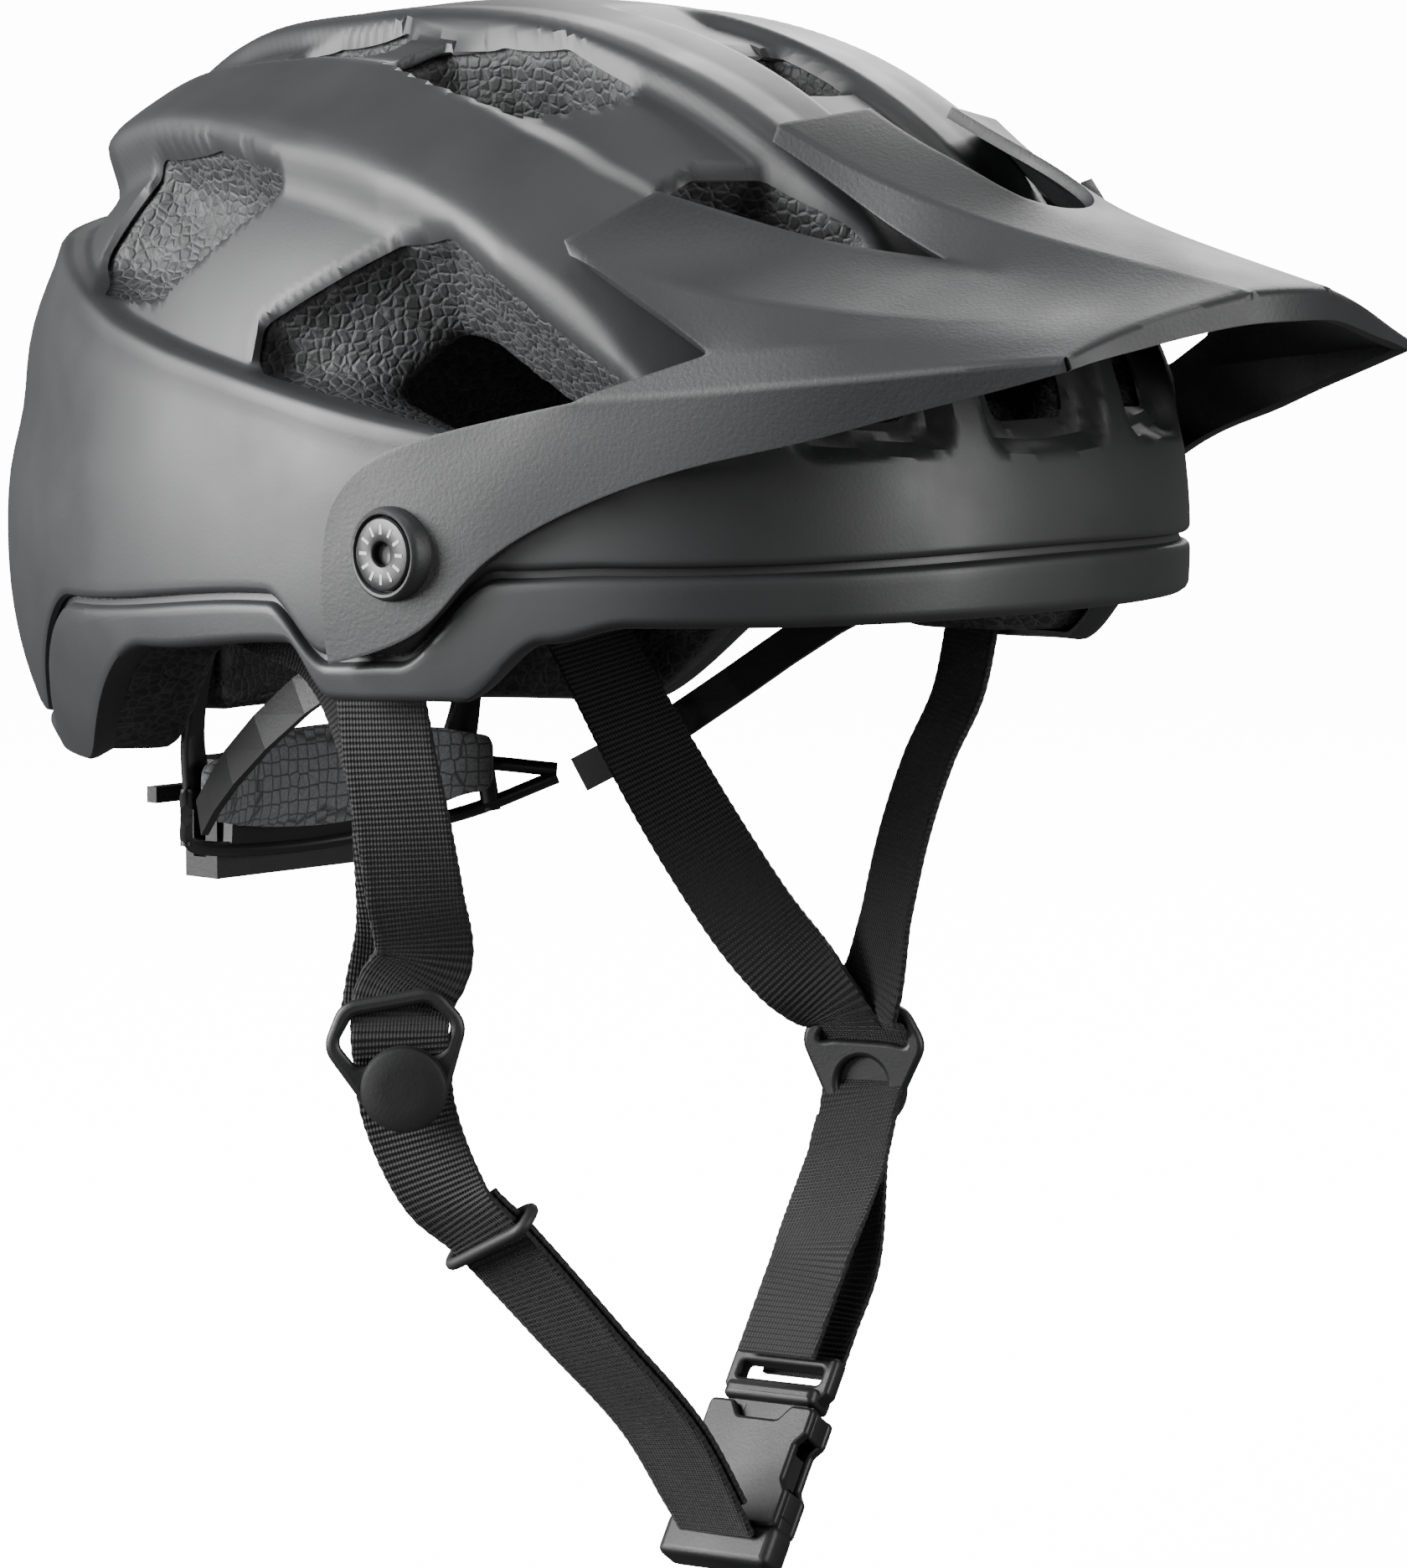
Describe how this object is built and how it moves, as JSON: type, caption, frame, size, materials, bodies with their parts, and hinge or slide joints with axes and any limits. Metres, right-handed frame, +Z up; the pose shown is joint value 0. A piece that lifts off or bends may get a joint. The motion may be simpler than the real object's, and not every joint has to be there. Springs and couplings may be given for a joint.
{
  "type": "cycling helmet",
  "caption": "Open-face trail cycling helmet with ribbed vented shell, foam liner, tilting visor, dial retention cradle and chin straps with side-release buckle.",
  "frame": {"origin": "centre of the head opening at the level of the shell's widest line", "axes": "+Z up through the crown, the front and its visor face -Y, the wearer's right side is -X"},
  "size_m": [0.2146, 0.3163, 0.3265],
  "materials": {
    "outer_shell": "satin matt polycarbonate, dark grey",
    "lower_shell": "satin matt polycarbonate, dark grey",
    "eps_liner": "expanded polystyrene foam, charcoal beads",
    "visor_screw_right": "moulded black acetal, matt",
    "screw_insert_right": "turned brass",
    "visor_screw_left": "moulded black acetal, matt",
    "screw_insert_left": "turned brass",
    "brow_pad": "grey mesh cloth over foam",
    "crown_pad_front": "grey mesh cloth over foam",
    "crown_pad_rear": "grey mesh cloth over foam",
    "crown_pad_right": "grey mesh cloth over foam",
    "crown_pad_left": "grey mesh cloth over foam",
    "temple_pin_right": "moulded black acetal, matt",
    "temple_pin_left": "moulded black acetal, matt",
    "ear_anchor_right": "moulded black acetal, matt",
    "ear_anchor_left": "moulded black acetal, matt",
    "rear_anchor_right": "moulded black acetal, matt",
    "rear_anchor_left": "moulded black acetal, matt",
    "strap_right_front": "woven black polyester webbing",
    "strap_right_rear": "woven black polyester webbing",
    "strap_right_lower": "woven black polyester webbing",
    "strap_right_tail": "woven black polyester webbing",
    "strap_left_front": "woven black polyester webbing",
    "strap_left_rear": "woven black polyester webbing",
    "strap_left_lower": "woven black polyester webbing",
    "strap_keeper": "black rubber ring",
    "divider_frame_right": "moulded black acetal, matt",
    "divider_disc_right": "moulded black acetal, matt",
    "divider_frame_left": "moulded black acetal, matt",
    "divider_disc_left": "moulded black acetal, matt",
    "buckle_female": "moulded black acetal, matt",
    "visor": "moulded charcoal nylon, fine matt texture",
    "cradle_frame": "moulded black acetal, matt",
    "dial_housing": "moulded black acetal, matt",
    "cradle_pad": "grey mesh cloth over foam",
    "side_band_right": "moulded black acetal, matt",
    "side_band_left": "moulded black acetal, matt",
    "dial_knob": "moulded black acetal, matt",
    "rack_right": "moulded black acetal, matt",
    "rack_left": "moulded black acetal, matt",
    "buckle_male": "moulded black acetal, matt",
    "buckle_prong_front": "moulded black acetal, matt",
    "buckle_prong_rear": "moulded black acetal, matt"
  },
  "bodies": {
    "helmet": {"outer_shell": "outer_shell", "lower_shell": "lower_shell", "eps_liner": "eps_liner", "visor_screw_right": "visor_screw_right", "screw_insert_right": "screw_insert_right", "visor_screw_left": "visor_screw_left", "screw_insert_left": "screw_insert_left", "brow_pad": "brow_pad", "crown_pad_front": "crown_pad_front", "crown_pad_rear": "crown_pad_rear", "crown_pad_right": "crown_pad_right", "crown_pad_left": "crown_pad_left", "temple_pin_right": "temple_pin_right", "temple_pin_left": "temple_pin_left", "ear_anchor_right": "ear_anchor_right", "ear_anchor_left": "ear_anchor_left", "rear_anchor_right": "rear_anchor_right", "rear_anchor_left": "rear_anchor_left", "strap_right_front": "strap_right_front", "strap_right_rear": "strap_right_rear", "strap_right_lower": "strap_right_lower", "strap_right_tail": "strap_right_tail", "strap_left_front": "strap_left_front", "strap_left_rear": "strap_left_rear", "strap_left_lower": "strap_left_lower", "strap_keeper": "strap_keeper", "divider_frame_right": "divider_frame_right", "divider_disc_right": "divider_disc_right", "divider_frame_left": "divider_frame_left", "divider_disc_left": "divider_disc_left", "buckle_female": "buckle_female"},
    "visor": {"visor": "visor"},
    "cradle": {"cradle_frame": "cradle_frame", "dial_housing": "dial_housing", "cradle_pad": "cradle_pad", "side_band_right": "side_band_right", "side_band_left": "side_band_left"},
    "dial": {"dial_knob": "dial_knob"},
    "rack_right": {"rack_right": "rack_right"},
    "rack_left": {"rack_left": "rack_left"},
    "buckle_male": {"buckle_male": "buckle_male"},
    "prong_front": {"buckle_prong_front": "buckle_prong_front"},
    "prong_rear": {"buckle_prong_rear": "buckle_prong_rear"}
  },
  "joints": [
    {"name": "visor_tilt", "type": "hinge", "parent": "helmet", "child": "visor", "pos_m": [0, -0.0475, 0.0038], "axis": [1, 0, 0], "range_deg": [-8, 12]},
    {"name": "cradle_height", "type": "hinge", "parent": "helmet", "child": "cradle", "pos_m": [0, -0.05, -0.008], "axis": [1, 0, 0], "range_deg": [-3, 3]},
    {"name": "dial_turn", "type": "hinge", "parent": "cradle", "child": "dial", "pos_m": [0, 0.1, -0.066], "axis": [0, 1, 0], "range_deg": [-140, 140]},
    {"name": "rack_right_slide", "type": "slide", "parent": "cradle", "child": "rack_right", "axis": [1, 0, 0], "range_m": [-0.01, 0.01]},
    {"name": "rack_left_slide", "type": "slide", "parent": "cradle", "child": "rack_left", "axis": [1, 0, 0], "range_m": [-0.01, 0.01]},
    {"name": "buckle_pull", "type": "slide", "parent": "helmet", "child": "buckle_male", "axis": [0.5653, 0.085, 0.8205], "range_m": [0, 0.022]},
    {"name": "prong_front_squeeze", "type": "hinge", "parent": "buckle_male", "child": "prong_front", "pos_m": [0.02019, -0.04249, -0.18456], "axis": [-0.8178, -0.087, 0.5689], "range_deg": [-6, 0], "stiffness_Nm_per_rad": 0.03},
    {"name": "prong_rear_squeeze", "type": "hinge", "parent": "buckle_male", "child": "prong_rear", "pos_m": [0.01855, -0.02889, -0.18483], "axis": [-0.8178, -0.087, 0.5689], "range_deg": [0, 6], "stiffness_Nm_per_rad": 0.03}
  ],
  "couplings": [
    {"joint": "rack_right_slide", "follows": "dial_turn", "m_per_rad": 0.004},
    {"joint": "rack_left_slide", "follows": "dial_turn", "m_per_rad": -0.004}
  ]
}
